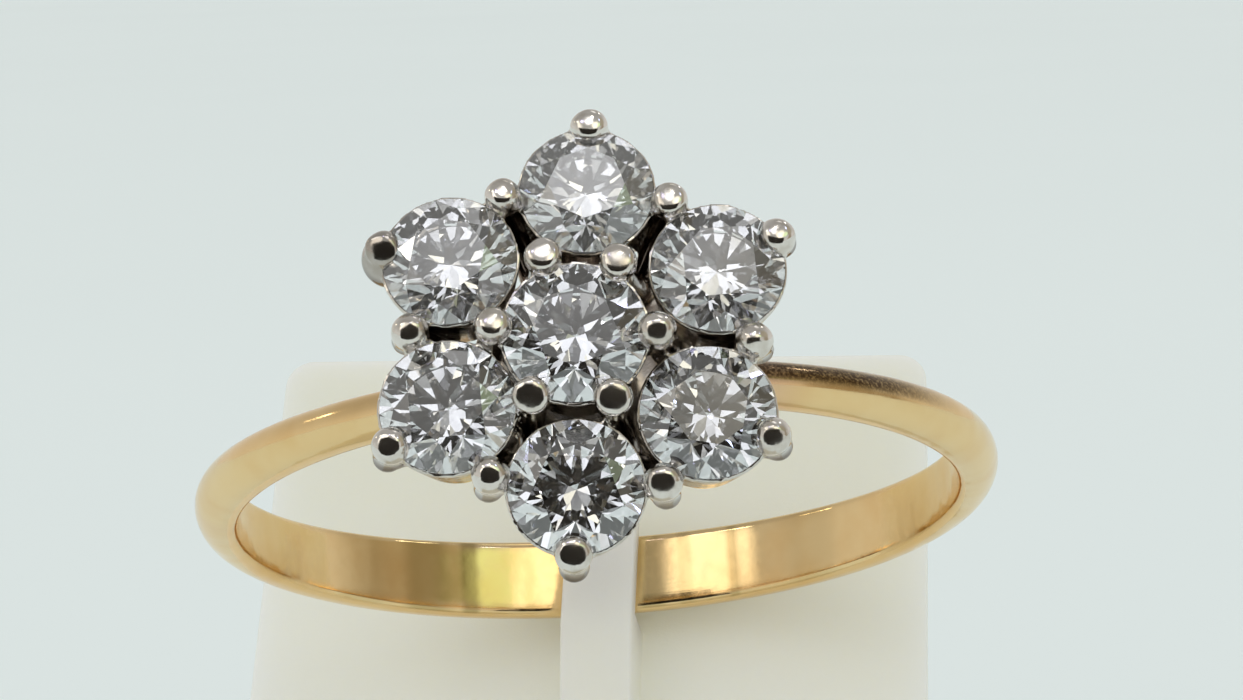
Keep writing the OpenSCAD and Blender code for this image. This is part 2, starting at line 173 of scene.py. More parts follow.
# Clutter that shows through the stones: its waves, and from which noise to which a spot grows bright
# or dark, how much, and its colour
CLUTTER_WAVES = 5.0
BRIGHT_SPOTS = (0.5, 0.56, 1, (1.25, 1.26, 1.32))
DARK_SPOTS = (0.46, 0.41, 0.8, (0.14, 0.14, 0.15))

# Soft lamps: name, direction as above, size and power in metres and watts, and colour
LAMPS = [("softbox_left", -48, 52, (0.06, 0.05), 0.014, (1.0, 0.99, 0.96)),
         ("softbox_top", 150, 70, (0.08, 0.06), 0.012, (1.0, 1.0, 1.0))]
# Small lamps that spark in the stones: direction, power and colour
SPARKS = [(-62, 48, 0.008, (1.0, 0.97, 0.9)), (24, 66, 0.008, (1.0, 1.0, 1.0)),
          (66, 55, 0.006, (0.55, 0.65, 1.0)), (-18, 58, 0.006, (0.62, 0.6, 1.0)),
          (-100, 34, 0.006, (1.0, 0.9, 0.7)), (140, 50, 0.008, (1.0, 1.0, 1.0))]
# In metres: how far off they stand, the sparks' size, the place they look at, and the floor's radius
LAMP_FAR, SPARK_FAR, SPARK_SIZE = 0.3, 0.24, 0.018
LAMPS_LOOK_AT = (0, 0, 0.017)
FLOOR_R = 3.0

# Camera: in the cluster's frame, in millimetres, looking through a lens of that view angle
CAMERA_AT = Vector((1.71, -16.56, 62.93))
CAMERA_TURN = Vector((2.83, 0.03978, -0.01841))
VIEW_ANGLE = 26.04
NEAREST, FARTHEST = 0.001, 20
GLOSSY_BOUNCES = 10

petals = 6
step = 360 / petals
band_top = BORE_R + HEAD_T
petal_z = band_top + PETAL_RISE
centre_z = petal_z + CENTRE_RISE
collar_top = band_top + COLLAR_OVER
collar_r = (COLLAR_D - COLLAR_WALL) / 2
root_z = collar_top - COLLAR_OVER / 2
knee_drop = BEAD_D / 2
petal_r = PETAL_D + PETAL_GAP
between_r = petal_r * math.cos(math.radians(step / 2)) + math.sqrt(
    (PETAL_D / 2 + BETWEEN_OFF) ** 2 - (petal_r / 2) ** 2)
inner_r = CENTRE_D / 2 + INNER_OFF


def polar(radius, degrees, height):
    a = math.radians(degrees)
    return Vector((radius * math.cos(a), radius * math.sin(a), height))


def turn_about(axis, degrees):
    return Matrix.Rotation(math.radians(degrees), 4, axis)


def smooth(x):
    """Eases from 0 to 1 while x does, and stays there."""
    x = np.clip(x, 0, 1)
    return x * x * (3 - 2 * x)


def petal_angle(i):
    return 90 - i * step


def gap_angle(i):
    return petal_angle(i) - step / 2


def petal_matrix(i):
    """Frame of petal stone i, with its girdle's middle at the origin."""
    out = petal_r + HAND_SET[i][0]
    return (turn_about("Z", petal_angle(i)) @ Matrix.Translation((out, 0, petal_z))
            @ turn_about("Y", PETAL_TILT))


def gap_z(r):
    lean = math.tan(math.radians(PETAL_TILT))
    return petal_z + (petal_r - r * math.cos(math.radians(step / 2))) * lean


centre = Vector((CENTRE_X, 0, centre_z))


def to_plate(turn, side=0):
    """Carries a piece of the ring to the plate's directions: across it, up it and out of it."""
    return (turn_about("X", RING_TILT) @ turn_about("Y", RING_SWING)
            @ Matrix.Translation((side, 0, 0)) @ turn_about("Z", turn))


def bore_edge(along, across):
    """Point at the back of the bore, that far along the band's axis and across the plate."""
    back = (axis.z * axis - Vector((0, 0, 1))) / axis_flat
    side = Vector((axis.y, -axis.x, 0)) / axis_flat
    share = (across - along * axis.x - BORE_R * back.x) / BORE_R / side.x
    return along * axis + BORE_R * (math.sqrt(1 - share ** 2) * back + share * side)


# Places on the stand, by the same rules as the solids
axis = to_plate(BAND_TURN) @ Vector((0, 1, 0))
axis_flat = math.hypot(axis.x, axis.y)
plate_front = -((BORE_R + SIDE_H) * axis_flat
                + math.hypot((BACK_T - SIDE_H) * axis_flat, BACK_W / 2 * axis.z) + CLIP_GAP)
lowest = to_plate(HEAD_TURN, HEAD_SIDE) @ petal_matrix(3) @ Vector((PETAL_D / 2, 0, PETAL_BEAD_RISE))
sin_lean, cos_lean = math.sin(math.radians(LEAN)), math.cos(math.radians(LEAN))
front_reach = lowest.z * cos_lean - lowest.y * sin_lean + BEAD_D / 2
back_reach = PLATE_TOP * sin_lean + (PLATE_T - plate_front) * cos_lean
foot_l = front_reach + back_reach + 2 * FOOT_MARGIN
aside = (RING_SIDE + TONGUE_SIDE) / 2
foot_w = PLATE_W + 2 * aside + 2 * FOOT_SIDE
ring_y = (front_reach - back_reach) / 2
plate_end = (RING_HEIGHT + (plate_front - PLATE_T / 2) * sin_lean - FOOT_T / 2) / cos_lean
beside = (-RING_SIDE - TONGUE_W / 2, -RING_SIDE + TONGUE_W / 2)
tongue_back = max(bore_edge(BACK_W / 2, x).z for x in beside) + CLIP_GAP
bridge_top = min(bore_edge(-BACK_W / 2, x).y for x in beside) - CLIP_GAP


def on_plate(side):
    """Matrix from the plate's directions to the row's frame, in millimetres."""
    return Matrix.Translation((side, ring_y, RING_HEIGHT)) @ turn_about("X", 90 - LEAN)


def in_clip(turn, side=0):
    """Matrix from the ring's frame to the row's frame, in millimetres."""
    return on_plate(aside) @ to_plate(turn, side)


def as_head():
    """The same for the cluster."""
    return in_clip(HEAD_TURN, HEAD_SIDE)


def add_lathe(bm, profile, matrix, steps=128):
    """Adds a body turned about Z from a closed profile of (radius, height) points."""
    rings = []
    for radius, height in profile:
        if radius < 1e-9:
            rings.append([bm.verts.new(matrix @ Vector((0, 0, height)))] * steps)
        else:
            rings.append([bm.verts.new(matrix @ polar(radius, 360 * s / steps, height))
                          for s in range(steps)])
    for k, low in enumerate(rings):
        high = rings[(k + 1) % len(rings)]
        for s in range(steps):
            corners = [low[s], low[(s + 1) % steps], high[(s + 1) % steps], high[s]]
            unique = list(dict.fromkeys(corners))
            if len(unique) > 2:
                bm.faces.new(unique)


def add_ball(bm, at, d):
    return bmesh.ops.create_icosphere(bm, subdivisions=4, radius=d / 2,
                                      matrix=Matrix.Translation(at))["verts"]


def add_bead(bm, at, worn):
    """Ball with a flat worn on it, which looks that far right and up from straight out."""
    right, up, share = worn
    out = Vector((math.tan(math.radians(right)), math.tan(math.radians(up)), 1)).normalized()
    depth = BEAD_D / 2 * math.sqrt(1 - share ** 2)
    for vert in add_ball(bm, at, BEAD_D):
        over = (vert.co - at).dot(out) - depth
        if over > 0:
            vert.co -= (1 - WORN_DOME) * over * out
        vert.co += BEAD_WOBBLE * wobble.noise_vector(vert.co * BEAD_WAVES)


def add_wire(bm, start, end, d1, d2):
    run = end - start
    place = Matrix.Translation((start + end) / 2) @ run.to_track_quat("Z", "Y").to_matrix().to_4x4()
    bmesh.ops.create_cone(bm, cap_ends=True, segments=40, radius1=d1 / 2, radius2=d2 / 2,
                          depth=run.length, matrix=place)


def add_prism(bm, outline, low, high, matrix):
    """Adds a plate with that outline of (x, y) points, from height low to high."""
    bottom = [bm.verts.new(matrix @ Vector((x, y, low))) for x, y in outline]
    top = [bm.verts.new(matrix @ Vector((x, y, high))) for x, y in outline]
    bm.faces.new(bottom[::-1])
    bm.faces.new(top)
    for k in range(len(outline)):
        n = (k + 1) % len(outline)
        bm.faces.new([bottom[k], bottom[n], top[n], top[k]])


def new_object(name, bm):
    """Object with the bmesh's mesh, its normals made to face outwards."""
    bmesh.ops.recalc_face_normals(bm, faces=bm.faces)
    mesh = bpy.data.meshes.new(name)
    bm.to_mesh(mesh)
    bm.free()
    obj = bpy.data.objects.new(name, mesh)
    bpy.context.scene.collection.objects.link(obj)
    return obj


def apply_modifier(obj, kind, **settings):
    modifier = obj.modifiers.new(kind.lower(), kind)
    for key, value in settings.items():
        setattr(modifier, key, value)
    bpy.context.view_layer.update()
    shaped = bpy.data.meshes.new_from_object(
        obj.evaluated_get(bpy.context.evaluated_depsgraph_get()))
    obj.modifiers.clear()
    old, obj.data = obj.data, shaped
    bpy.data.meshes.remove(old)


def vertex_places(mesh):
    co = np.zeros(len(mesh.vertices) * 3, np.float32)
    mesh.vertices.foreach_get("co", co)
    return co.reshape(-1, 3)


def mark(mesh, name, shares):
    """Writes a share for each vertex, which a material reads by that name."""
    values = mesh.attributes.new(name, "FLOAT", "POINT").data
    values.foreach_set("value", shares.astype(np.float32))


def discard(obj):
    mesh = obj.data
    bpy.data.objects.remove(obj)
    bpy.data.meshes.remove(mesh)


def place_piece(obj, matrix, node, material):
    """Brings a piece to the row's frame in metres, gives it its material, hangs it on the root and hides
    the part it stands for.
    """
    obj.data.transform(Matrix.Diagonal((MM, MM, MM, 1)) @ matrix)
    obj.data.materials.clear()
    obj.data.materials.append(material)
    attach(obj, "root")
    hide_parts(node)


# Material building

def new_material(name, **sockets):
    material = bpy.data.materials.new(name)
    material.use_nodes = True
    shader = material.node_tree.nodes["Principled BSDF"]
    for key, value in sockets.items():
        shader.inputs[key.replace("_", " ")].default_value = value
    return material, material.node_tree, shader


def add_node(tree, kind, **settings):
    node = tree.nodes.new(kind)
    for key, value in settings.items():
        setattr(node, key, value)
    return node


def millimetres(tree, scale=(1, 1, 1)):
    """Object coordinates in millimetres, stretched by scale."""
    coords = add_node(tree, "ShaderNodeTexCoord")
    mapping = add_node(tree, "ShaderNodeMapping")
    mapping.inputs["Scale"].default_value = [s / MM for s in scale]
    tree.links.new(coords.outputs["Object"], mapping.inputs["Vector"])
    return mapping.outputs["Vector"]


def noise(tree, vector, scale, detail=4, roughness=0.55, distortion=0.0):
    node = add_node(tree, "ShaderNodeTexNoise")
    node.inputs["Scale"].default_value = scale
    node.inputs["Detail"].default_value = detail
    node.inputs["Roughness"].default_value = roughness
    node.inputs["Distortion"].default_value = distortion
    tree.links.new(vector, node.inputs["Vector"])
    return node.outputs["Fac"]


def to_range(tree, value, low, high, out_low, out_high):
    node = add_node(tree, "ShaderNodeMapRange", interpolation_type="SMOOTHSTEP")
    for key, number in zip(("From Min", "From Max", "To Min", "To Max"), (low, high, out_low, out_high)):
        node.inputs[key].default_value = number
    tree.links.new(value, node.inputs["Value"])
    return node.outputs["Result"]


def colour_mix(tree, factor, first, second):
    node = add_node(tree, "ShaderNodeMix", data_type="RGBA")
    for key, value in ((6, first), (7, second)):
        if isinstance(value, tuple):
            node.inputs[key].default_value = (*value, 1)
        else:
            tree.links.new(value, node.inputs[key])
    tree.links.new(factor, node.inputs[0])
    return node.outputs[2]


def add_bump(tree, shader, height, strength, distance_mm, under=None):
    node = add_node(tree, "ShaderNodeBump")
    node.inputs["Strength"].default_value = strength
    node.inputs["Distance"].default_value = distance_mm * MM
    tree.links.new(height, node.inputs["Height"])
    if under:
        tree.links.new(under, node.inputs["Normal"])
    tree.links.new(node.outputs["Normal"], shader.inputs["Normal"])
    return node.outputs["Normal"]


def attribute(tree, name):
    return add_node(tree, "ShaderNodeAttribute", attribute_name=name).outputs["Fac"]


def yellow_gold():
    """Polished gold with fine rubbed lines round the finger and faint warmer patches."""
    material, tree, shader = new_material("yellow_gold", Metallic=1.0)
    uv = add_node(tree, "ShaderNodeUVMap", uv_map="around").outputs["UV"]
    along = add_node(tree, "ShaderNodeMapping")
    along.inputs["Scale"].default_value = (0.5, 16, 1)
    tree.links.new(uv, along.inputs["Vector"])
    lines = noise(tree, along.outputs["Vector"], 1.0, detail=6)
    patches = noise(tree, millimetres(tree), 0.45, detail=3)
    worn = noise(tree, millimetres(tree), 3.0, detail=5)
    grain = noise(tree, millimetres(tree), 16.0, detail=4)
    colour = colour_mix(tree, to_range(tree, patches, 0.35, 0.7, 0, 1), *GOLD)
    colour = colour_mix(tree, attribute(tree, "rosy"), colour, ROSY_GOLD)
    # Painted dark brown reflections inside the band
    colour = colour_mix(tree, attribute(tree, "inside_reflection_share"), colour, INSIDE_REFLECTION_COLOUR)
    # Painted dark reflection on the right shoulder, speckled by the grain
    shoulder_reflection_share = attribute(tree, "shoulder_reflection_share")
    speckled = add_node(tree, "ShaderNodeMath", operation="MULTIPLY")
    tree.links.new(shoulder_reflection_share, speckled.inputs[0])
    tree.links.new(to_range(tree, grain, 0.25, 0.6, 0.55, 1), speckled.inputs[1])
    colour = colour_mix(tree, speckled.outputs[0], colour, SHOULDER_REFLECTION)
    tree.links.new(colour, shader.inputs["Base Color"])
    tree.links.new(to_range(tree, worn, 0.3, 0.75, 0.09, 0.2), shader.inputs["Roughness"])
    waves = add_node(tree, "ShaderNodeMapping")
    waves.inputs["Scale"].default_value = (0.45, 0.08, 1)
    tree.links.new(uv, waves.inputs["Vector"])
    uneven = add_bump(tree, shader, noise(tree, waves.outputs["Vector"], 1.0, detail=2), 0.8, 0.1)
    rubbed = add_bump(tree, shader, lines, 0.12, 0.01, uneven)
    add_bump(tree, shader, worn, 0.1, 0.02, rubbed)
    return material


def white_gold():
    """Polished white gold, with painted shade deep between the stones and a painted dark reflection on the
    broad claw.
    """
    material, tree, shader = new_material("white_gold", Metallic=1.0)
    fine = noise(tree, millimetres(tree), 2.6, detail=5)
    dark_paint_share = attribute(tree, "dark_paint_share")
    clean = colour_mix(tree, to_range(tree, fine, 0.35, 0.7, 0, 1), *WHITE_GOLD)
    # Painted shade between the stones and a painted dark reflection on the broad claw
    colour = colour_mix(tree, dark_paint_share, clean, PAINTED_DARK)
    tree.links.new(colour, shader.inputs["Base Color"])
    tree.links.new(to_range(tree, fine, 0.3, 0.75, 0.09, 0.22), shader.inputs["Roughness"])
    add_bump(tree, shader, fine, 0.22, 0.03)
    return material


def brilliant(name, clear, tone):
    """Cut stone with the faintest polish marks, hazy where it isn't quite clear."""
    material, tree, shader = new_material(name, IOR=2.417, Transmission_Weight=clear)
    marks = noise(tree, millimetres(tree), 5.0, detail=3)
    tones = [tuple(share * tone for share in colour) for colour in STONE]
    tree.links.new(colour_mix(tree, marks, *tones), shader.inputs["Base Color"])
    tree.links.new(to_range(tree, marks, 0.5, 0.9, 0.0, 0.03), shader.inputs["Roughness"])
    return material


def cream_plastic():
    """Frosted plastic that lets a little light in, with painted light making the plate paler towards its
    lower end, where the ring shades it.
    """
    material, tree, shader = new_material(
        "cream_plastic", Subsurface_Weight=0.8, Subsurface_Scale=0.004)
    shader.inputs["Subsurface Radius"].default_value = (1.0, 0.95, 0.8)
    grain = noise(tree, millimetres(tree), 14.0, detail=4)
    cloud = noise(tree, millimetres(tree), 0.25, detail=2)
    place = add_node(tree, "ShaderNodeSeparateXYZ")
    tree.links.new(millimetres(tree), place.inputs[0])
    high, low = colour_mix(tree, cloud, *CREAM_HIGH), colour_mix(tree, cloud, *CREAM_PAINTED_LIGHT)
    # Painted light: the plate is paler low down, where the ring shades it, while the foot keeps the plain
    # cream
    plate = colour_mix(tree, to_range(tree, place.outputs["Z"], *PAINTED_LIGHT_TURN, 1, 0), high, low)
    foot = to_range(tree, place.outputs["Z"], *FOOT_TURN, 1, 0)
    tree.links.new(colour_mix(tree, foot, plate, high), shader.inputs["Base Color"])
    tree.links.new(to_range(tree, grain, 0.3, 0.7, 0.42, 0.6), shader.inputs["Roughness"])
    add_bump(tree, shader, grain, 0.25, 0.02)
    return material


# Band

def band_section(w, t):
    """Closed section of the band as (along the finger, radius) points: flat inside, domed outside."""
    inner = [((w - 2 * BAND_CORNER) * (k / FLAT_STEPS - 0.5), BORE_R) for k in range(FLAT_STEPS + 1)]
    arc = [(w / 2 - BAND_CORNER + BAND_CORNER * math.sin(a),
            BORE_R + BAND_CORNER - BAND_CORNER * math.cos(a))
           for a in (math.radians(90 * k / CORNER_STEPS) for k in range(1, CORNER_STEPS + 1))]
    dome = [(w / 2 * math.sin(u), BORE_R + SIDE_H + (t - SIDE_H) * math.cos(u))
            for u in (math.radians(90 - 180 * k / DOME_STEPS) for k in range(DOME_STEPS + 1))]
    return inner + arc + dome + [(-y, r) for y, r in arc[::-1]]


def section_at(degrees, grown=0.0):
    """Section of the band at that angle from across the finger, grown outwards and to both sides."""
    share = (1 + math.sin(math.radians(degrees))) / 2
    return band_section(BACK_W + (HEAD_W - BACK_W) * share + 2 * grown,
                        BACK_T + (HEAD_T - BACK_T) * share + grown)


def mark_band(mesh):
    """Marks the painted dark brown reflections inside, the rosy metal beside the solder joint, and the
    painted dark reflection on the right shoulder beside it, which is darkest along the right upper edge."""
    x, y, z = vertex_places(mesh).T
    away = np.degrees(np.abs(np.arctan2(x, z)))
    turned = np.degrees(np.arctan2(x, -z))
    high = np.hypot(x, z) - BORE_R
    outside = high > OUTSIDE_LOW
    # Painted dark reflection on the right shoulder, darkest along its upper edge
    across = smooth((y - SHOULDER_REFLECTION_FROM) / SHOULDER_REFLECTION_RISE) * (1 - EDGE_SHARE * smooth((y - EDGE_FROM) / EDGE_RISE))
    mark(mesh, "shoulder_reflection_share", outside * (x > 0) * smooth((SHOULDER_REFLECTION_REACH - away) / SHOULDER_REFLECTION_FADE) * across)
    mark(mesh, "rosy", outside * smooth((ROSY_REACH - away) / ROSY_FADE)
         * np.where(x > 0, ROSY_RIGHT, ROSY_LEFT))
    # Painted dark brown reflections inside the band
    inside_reflection_share = sum(depth * smooth(INSIDE_REFLECTION_PLACES_END - np.abs(turned - at) / half) for at, half, depth in INSIDE_REFLECTION_PLACES)
    mark(mesh, "inside_reflection_share", inside_reflection_share * (high < INSIDE_HIGH))


def make_band(material, steps=720):
    bm = bmesh.new()
    rings, runs = [], []
    for s in range(steps):
        degrees = 360 * s / steps
        a = math.radians(degrees)
        section = section_at(degrees)
        rings.append([bm.verts.new((r * math.cos(a), y, r * math.sin(a))) for y, r in section])
        gaps = [math.dist(section[k - 1], section[k]) for k in range(1, len(section))]
        runs.append([0.0] + list(np.cumsum(gaps)) + [sum(gaps) + math.dist(section[-1], section[0])])
    uv = bm.loops.layers.uv.new("around")
    round_the_finger = 2 * math.pi * BORE_R / steps
    n = len(rings[0])
    for s in range(steps):
        s2 = (s + 1) % steps
        for k in range(n):
            k2 = (k + 1) % n
            face = bm.faces.new([rings[s][k], rings[s][k2], rings[s2][k2], rings[s2][k]])
            places = [(s, runs[s][k]), (s, runs[s][k + 1]),
                      (s + 1, runs[s2][k + 1]), (s + 1, runs[s2][k])]
            for loop, (turn, across) in zip(face.loops, places):
                loop[uv].uv = (turn * round_the_finger, across)
            face.smooth = True
    band = new_object("gold_band", bm)
    mark_band(band.data)
    place_piece(band, in_clip(BAND_TURN), "band", material)


# Setting

def add_claw(bm, angle, knee, bead, worn, knee_d=CLAW_D * KNEE_SHARE):
    """Claw from the collar out to its knee and up to its bead."""
    root = polar(collar_r, angle, root_z)
    add_wire(bm, root, knee, CLAW_D * ROOT_SHARE, CLAW_D)
    add_ball(bm, knee, knee_d)
    add_wire(bm, knee, bead, CLAW_D, CLAW_D * END_SHARE)
    add_bead(bm, bead, worn)


def add_claws(bm, i):
    """Petal i's tip claw, the claw in the gap after it and the one inside that, at the centre stone."""
    _, tip_turn, gap_out, inner_turn = HAND_SET[i]
    gap = gap_angle(i)
    gap_r = between_r + gap_out
    inner = centre + polar(inner_r, gap + inner_turn, 0)
    tip = petal_matrix(i)
    tip_worn, gap_worn, inner_worn = WORN[i]
    knee_out, knee_d = (BROAD_OUT, BROAD_D) if i == BROAD_TIP else (TIP_OUT, CLAW_D * KNEE_SHARE)
    add_claw(bm, petal_angle(i),
             tip @ polar(PETAL_D / 2 + knee_out, tip_turn, -knee_drop),
             tip @ polar(PETAL_D / 2, tip_turn, PETAL_BEAD_RISE), tip_worn, knee_d)
    add_claw(bm, gap,
             polar(gap_r + BETWEEN_OUT, gap, gap_z(gap_r) - knee_drop),
             polar(gap_r, gap, gap_z(gap_r) + PETAL_BEAD_RISE), gap_worn)
    add_claw(bm, gap, inner - Vector((0, 0, knee_drop)), inner + Vector((0, 0, CENTRE_BEAD_RISE)),
             inner_worn)


def add_seat(bm, d, matrix):
    r = d / 2 + SEAT_RIM
    foot_r = r - SEAT_TAPER
    add_lathe(bm, [(foot_r - SEAT_WALL, -SEAT_DEPTH), (foot_r, -SEAT_DEPTH),
                   (r, 0), (r - SEAT_WALL, 0)], matrix)


def add_stone_space(bm, d, matrix, gap):
    """Adds the space that a stone takes, grown by the gap."""
    r = d / 2
    girdle = r * GIRDLE_SHARE
    crown, pavilion = math.tan(math.radians(CROWN_ANGLE)), math.tan(math.radians(PAVILION_ANGLE))
    half = math.cos(math.radians(HALF_MAIN))
    table_r = r * TABLE_SHARE
    star_r = table_r * half + (r - table_r * half) * STAR_SHARE
    lower_r = r * (1 - LOWER_SHARE)
    profile = [(0, -girdle - r * pavilion), (lower_r, -girdle - (r - lower_r * half) * pavilion),
               (r, -girdle), (r, girdle), (star_r, girdle + (r - star_r * half) * crown),
               (table_r, girdle + (r - table_r) * crown), (0, girdle + (r - table_r) * crown)]
    grown = 1 + gap / r
    add_lathe(bm, [(x * grown, z * grown) for x, z in profile], matrix)


def painted_darkness(co):
    """How dark the metal is painted at each point: painted shade below the girdles between the stones, and
    a painted dark reflection round one claw's bead.
    """
    x, y, height = co.T
    middle = np.hypot(x, y) < petal_r - PETAL_D / 2
    below = np.where(middle, centre_z, petal_z) + PAINTED_DARK_OVER - height
    dark = smooth(below / PAINTED_DARK_FADE) * PAINTED_DARK_SHARE
    under = np.hypot(x - CENTRE_X, y) < CENTRE_D / 2
    for i in range(petals):
        at = petal_matrix(i).translation
        under |= np.hypot(x - at.x, y - at.y) < PETAL_D / 2
    dark[under] *= UNDER_STONE
    # Painted dark reflection round the broad claw's bead
    broad = petal_matrix(BROAD_TIP) @ polar(PETAL_D / 2, HAND_SET[BROAD_TIP][1], 0)
    near = np.linalg.norm(co - np.array(broad), axis=1)
    return np.maximum(dark, smooth((BROAD_REACH - near) / BROAD_FADE) * BROAD_SHARE)


def make_setting(material):
    bm = bmesh.new()
    middle = (collar_top + band_top - COLLAR_SKIRT) / 2
    high = (COLLAR_OVER + COLLAR_SKIRT) / 2
    wobble.seed_set(BEAD_SEED)
    add_lathe(bm, [(collar_r + x, middle + z) for x, z in
                   ((-COLLAR_WALL / 2, -high), (COLLAR_WALL / 2, -high),
                    (COLLAR_WALL / 2, high), (-COLLAR_WALL / 2, high))], Matrix.Identity(4))
    add_lathe(bm, [(0, collar_top - COLLAR_FLOOR), (collar_r, collar_top - COLLAR_FLOOR),
                   (collar_r, collar_top), (0, collar_top)], Matrix.Identity(4))
    at_centre = Matrix.Translation(centre)
    add_seat(bm, CENTRE_D, at_centre)
    for i in range(petals):
        add_seat(bm, PETAL_D, petal_matrix(i))
        add_claws(bm, i)
    metal = new_object("claw_setting", bm)
    apply_modifier(metal, "REMESH", mode="VOXEL", voxel_size=VOXEL)
    apply_modifier(metal, "SMOOTH", factor=0.5, iterations=6)
    apply_modifier(metal, "DECIMATE", ratio=KEPT_SHARE)

    spaces = bmesh.new()
    add_stone_space(spaces, CENTRE_D, at_centre, METAL_GAP)
    for i in range(petals):
        add_stone_space(spaces, PETAL_D, petal_matrix(i), METAL_GAP)
    section = section_at(math.degrees(math.acos(COLLAR_D / 2 / band_top)), METAL_GAP)
    outline = [(r if r > BORE_R + ON_BORE else BORE_R - BAND_SPACE_PAST, y) for y, r in section]
    add_lathe(spaces, outline, turn_about("Z", -HEAD_TURN) @ Matrix.Translation((-HEAD_SIDE, 0, 0))
              @ turn_about("Z", BAND_TURN) @ turn_about("X", 90), steps=720)
    cutter = new_object("cutter", spaces)
    apply_modifier(metal, "BOOLEAN", operation="DIFFERENCE", object=cutter, solver="EXACT",
                   use_self=False)
    discard(cutter)

    # Painted shade between the stones and a painted dark reflection on the broad claw
    mark(metal.data, "dark_paint_share", painted_darkness(vertex_places(metal.data)))
    metal.data.shade_smooth()
    metal.data.set_sharp_from_angle(angle=math.radians(METAL_SHARP))
    place_piece(metal, as_head(), "setting", material)


# Stand

def rounded_outline(x0, y0, x1, y1, radii, steps=12):
    """Corners run from (x1, y1) anticlockwise, each with its own radius."""
    outline = []
    for (cx, cy, start), r in zip(((x1, y1, 0), (x0, y1, 90), (x0, y0, 180), (x1, y0, 270)), radii):
        if r == 0:
            outline.append((cx, cy))
            continue
        mx = cx - math.copysign(r, cx)
        my = cy - (r if cy == y1 else -r)
        outline += [(mx + r * math.cos(math.radians(start + 90 * k / steps)),
                     my + r * math.sin(math.radians(start + 90 * k / steps))) for k in range(steps + 1)]
    return outline


def make_stand(material):
    lean = on_plate(-aside)
    sunk = plate_front - PLATE_T / 2
    tongue_front = tongue_back + TONGUE_T
    bodies = []

    bm = bmesh.new()
    add_prism(bm, rounded_outline(-foot_w / 2, -foot_l / 2, foot_w / 2, foot_l / 2, [FOOT_CORNER] * 4),
              0, FOOT_T, Matrix.Identity(4))
    bodies.append(new_object("cream_stand", bm))

    bm = bmesh.new()
    half = PLATE_W / 2
    add_prism(bm, rounded_outline(-half, -plate_end, half, PLATE_TOP, [PLATE_CORNER] * 2 + [0, 0]),
              plate_front - PLATE_T, plate_front, lean)
    bodies.append(new_object("plate", bm))

    # The tongue's side outline, as (along the plate, out of it), extruded across the plate
    across = lean @ Matrix(((0, 0, 1, 0), (1, 0, 0, 0), (0, 1, 0, 0), (0, 0, 0, 1)))
    tip = TONGUE_TOP - TONGUE_T / 2
    steps = 12
    arc = [(tip + TONGUE_T / 2 * math.sin(math.pi * k / steps),
            tongue_back + TONGUE_T / 2 - TONGUE_T / 2 * math.cos(math.pi * k / steps))
           for k in range(steps + 1)]
    bridge_low = bridge_top - BRIDGE_H
    side = [(-plate_end, sunk), (bridge_top, sunk), (bridge_top, tongue_back)] + arc + [
        (bridge_low, tongue_front), (bridge_low - WEB_H, plate_front + RIB_T),
        (-plate_end, plate_front + RIB_T)]
    bm = bmesh.new()
    add_prism(bm, side, TONGUE_SIDE - TONGUE_W / 2, TONGUE_SIDE + TONGUE_W / 2, across)
    bodies.append(new_object("tongue", bm))

    stand = bodies[0]
    for other in bodies[1:]:
        apply_modifier(stand, "BOOLEAN", operation="UNION", object=other, solver="EXACT")
        discard(other)
    apply_modifier(stand, "BEVEL", width=STAND_BEVEL, segments=3, limit_method="ANGLE",
                   angle_limit=math.radians(BEVEL_ANGLE), harden_normals=False)
    stand.data.shade_smooth()
    stand.data.set_sharp_from_angle(angle=math.radians(STAND_SHARP))
    place_piece(stand, Matrix.Identity(4), "display_stand", material)


# Surroundings

def make_floor():
    bm = bmesh.new()
    bmesh.ops.create_circle(bm, cap_ends=True, segments=96, radius=FLOOR_R)
    floor = new_object("floor", bm)
    material, tree, shader = new_material("pale_floor", Roughness=0.8, Specular_IOR_Level=0.2)
    shade = noise(tree, millimetres(tree), 0.01, detail=2)
    tree.links.new(colour_mix(tree, shade, *FLOOR), shader.inputs["Base Color"])
    floor.data.materials.append(material)


def make_card():
    """Black card in front, which shows only in reflections."""
    bm = bmesh.new()
    middle, wide, low, high, y = CARD
    bm.faces.new([bm.verts.new(Vector((middle + x, y, z)) * MM)
                  for x, z in ((-wide / 2, low), (wide / 2, low), (wide / 2, high), (-wide / 2, high))])
    card = new_object("black_card", bm)
    material, tree, shader = new_material("black_card", Roughness=0.7, Specular_IOR_Level=0.1)
    tone = noise(tree, millimetres(tree), 0.02, detail=1)
    tree.links.new(colour_mix(tree, tone, *CARD_BLACK), shader.inputs["Base Color"])
    card.data.materials.append(material)
    card.visible_camera = False
    card.visible_diffuse = False
    card.visible_shadow = False


def direction(around, up):
    a, e = math.radians(around), math.radians(up)
    return Vector((math.sin(a) * math.cos(e), -math.cos(a) * math.cos(e), math.sin(e)))


def add_patches(tree, coords, sky, patches):
    """Lays patches over the sky's colour, each round its own direction."""
    for around, up, full, gone, colour in patches:
        towards = add_node(tree, "ShaderNodeVectorMath", operation="DOT_PRODUCT")
        tree.links.new(coords, towards.inputs[0])
        towards.inputs[1].default_value = direction(around, up)
        share = to_range(tree, towards.outputs["Value"], math.cos(math.radians(gone)),
                         math.cos(math.radians(full)), 0, 1)
        sky = colour_mix(tree, share, sky, colour)
    return sky


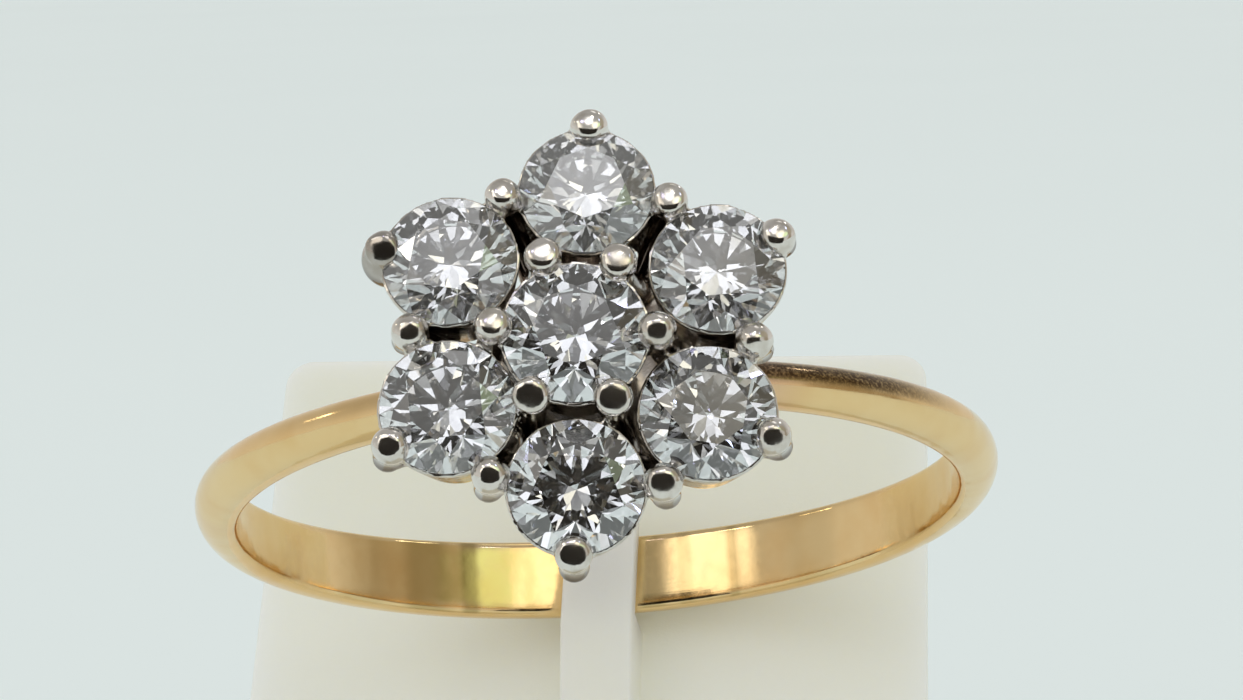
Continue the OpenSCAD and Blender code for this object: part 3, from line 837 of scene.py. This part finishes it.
def make_world():
    """Pale studio: even for matt things, with a few brighter and darker places for shiny ones."""
    world = bpy.data.worlds.new("studio")
    bpy.context.scene.world = world
    world.use_nodes = True
    tree = world.node_tree
    path = add_node(tree, "ShaderNodeLightPath")
    coords = add_node(tree, "ShaderNodeTexCoord").outputs["Generated"]
    separate = add_node(tree, "ShaderNodeSeparateXYZ")
    tree.links.new(coords, separate.inputs[0])
    plain = colour_mix(tree, to_range(tree, separate.outputs["Z"], 0, 0.9, 0, 1), SKY_LOW, SKY_HIGH)
    mirrored = add_patches(tree, coords, plain, PATCHES)
    clutter = noise(tree, coords, CLUTTER_WAVES, detail=2)
    refracted = mirrored
    for start, end, most, colour in (BRIGHT_SPOTS, DARK_SPOTS):
        refracted = colour_mix(tree, to_range(tree, clutter, start, end, 0, most), refracted, colour)
    mirrored = add_patches(tree, coords, mirrored, SURFACE_PATCHES)
    shiny = colour_mix(tree, path.outputs["Is Transmission Ray"], mirrored, refracted)
    unseen = colour_mix(tree, path.outputs["Is Diffuse Ray"], shiny, SKY_EVEN)
    tree.links.new(colour_mix(tree, path.outputs["Is Camera Ray"], unseen, BACKGROUND),
                   tree.nodes["Background"].inputs["Color"])


def add_lamp(name, at, size, power, colour, lights_matt=True):
    lamp = bpy.data.lights.new(name, "AREA")
    lamp.shape = "RECTANGLE"
    lamp.size, lamp.size_y = size
    lamp.energy = power
    lamp.color = colour
    obj = bpy.data.objects.new(name, lamp)
    obj.location = at
    obj.rotation_euler = (Vector(LAMPS_LOOK_AT) - at).to_track_quat("-Z", "Y").to_euler()
    obj.visible_camera = False
    obj.visible_diffuse = lights_matt
    bpy.context.scene.collection.objects.link(obj)


def make_lights():
    for name, around, up, size, power, colour in LAMPS:
        add_lamp(name, LAMP_FAR * direction(around, up), size, power, colour)
    for k, (around, up, power, colour) in enumerate(SPARKS):
        add_lamp(f"spark_{k + 1}", SPARK_FAR * direction(around, up), (SPARK_SIZE, SPARK_SIZE), power,
                 colour, lights_matt=False)


def make_camera():
    to_camera = Matrix.Rotation(CAMERA_TURN.length, 3, CAMERA_TURN)
    axes = to_camera.transposed() @ Matrix.Diagonal((1, -1, -1))
    place = as_head() @ Matrix.Translation(CAMERA_AT) @ axes.to_4x4()
    place.translation *= MM
    data = bpy.data.cameras.new("camera")
    data.sensor_fit = "HORIZONTAL"
    data.angle = math.radians(VIEW_ANGLE)
    data.clip_start, data.clip_end = NEAREST, FARTHEST
    camera = bpy.data.objects.new("camera", data)
    camera.matrix_world = place
    bpy.context.scene.collection.objects.link(camera)
    bpy.context.scene.camera = camera


def dress_stones():
    names = ["centre_stone"] + [f"petal_stone_{i + 1}" for i in range(petals)]
    for name, (clear, tone) in zip(names, STONE_LOOKS):
        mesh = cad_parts[name].data
        mesh.materials.clear()
        mesh.materials.append(brilliant(f"brilliant_{name}", clear, tone))


make_camera()
make_band(yellow_gold())
make_setting(white_gold())
dress_stones()
make_stand(cream_plastic())
make_floor()
make_card()
make_world()
make_lights()

scene = bpy.context.scene
scene.view_settings.view_transform = "Standard"
scene.cycles.glossy_bounces = GLOSSY_BOUNCES
